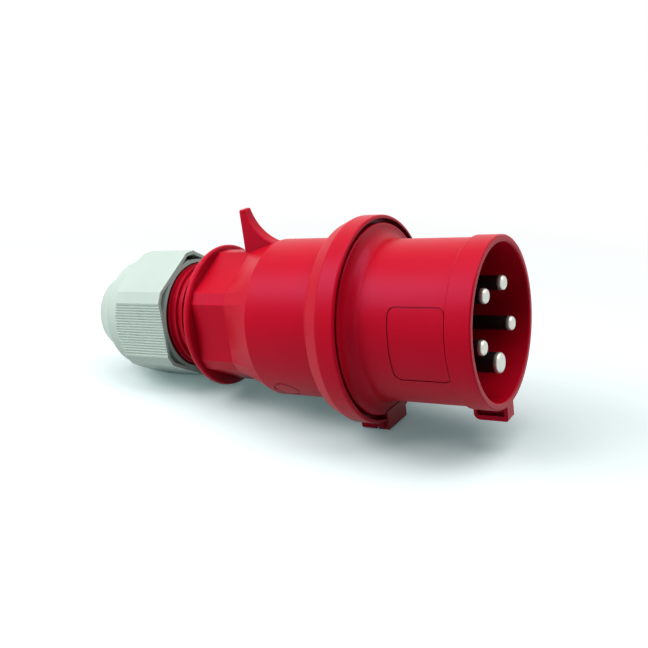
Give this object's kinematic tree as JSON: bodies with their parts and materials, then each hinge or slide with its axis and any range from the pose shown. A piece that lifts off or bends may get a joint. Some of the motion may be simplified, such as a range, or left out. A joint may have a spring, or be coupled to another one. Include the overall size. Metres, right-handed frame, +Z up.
{
  "type": "pin and sleeve plug",
  "caption": "Red industrial pin and sleeve plug with key nose, flange ring with latch, finger hook and a pale grey hexagonal gland nut that screws on and off.",
  "frame": {"origin": "on the floor, below the middle of the bounding box, as the plug lies at rest", "axes": "+X horizontal, towards the pins (the plug's own axis rises 7.8 degrees from it), +Z up, +Y across, away from the picture's side"},
  "size_m": [0.169, 0.072, 0.0742],
  "materials": {
    "shell_red": "fine textured moulded polyamide",
    "carrier_red": "moulded, glass filled",
    "latch_red": "moulded",
    "nut_grey": "fine textured moulded polyamide",
    "collet_grey": "moulded",
    "nickel": "nickel plated, bright",
    "steel": "zinc plated",
    "rubber": "matt black"
  },
  "bodies": {
    "plug": {"front_shroud": "shell_red", "contact_carrier": "carrier_red", "pin_earth": "nickel", "terminal_screw_earth": "steel", "pin_l1": "nickel", "terminal_screw_l1": "steel", "pin_l2": "nickel", "terminal_screw_l2": "steel", "pin_l3": "nickel", "terminal_screw_l3": "steel", "pin_neutral": "nickel", "terminal_screw_neutral": "steel", "flange_gasket": "rubber", "rear_housing": "shell_red", "clamp_collet": "collet_grey", "cable_seal": "rubber"},
    "latch": {"lock_latch": "latch_red", "latch_spring": "steel"},
    "thrust_slide": {"thrust_ring": "collet_grey"},
    "nut": {"gland_nut": "nut_grey"}
  },
  "joints": [
    {"name": "latch_slide", "type": "slide", "parent": "plug", "child": "latch", "axis": [-0.9908, 0, -0.1354], "range_m": [0, 0.0035], "stiffness_N_per_m": 600, "springref_m": -0.002, "deforming": ["latch_spring"]},
    {"name": "nut_travel", "type": "slide", "parent": "plug", "child": "thrust_slide", "axis": [0.9908, 0, 0.1354], "range_m": [-0.005, 0.0105]},
    {"name": "nut_turn", "type": "hinge", "parent": "thrust_slide", "child": "nut", "pos_m": [-0.06277, 0, 0.02493], "axis": [0.9908, 0, 0.1354], "range_deg": [-599.4, 1258.74]}
  ],
  "couplings": [
    {"joint": "nut_travel", "follows": "nut_turn", "m_per_rad": 0.00047746}
  ]
}
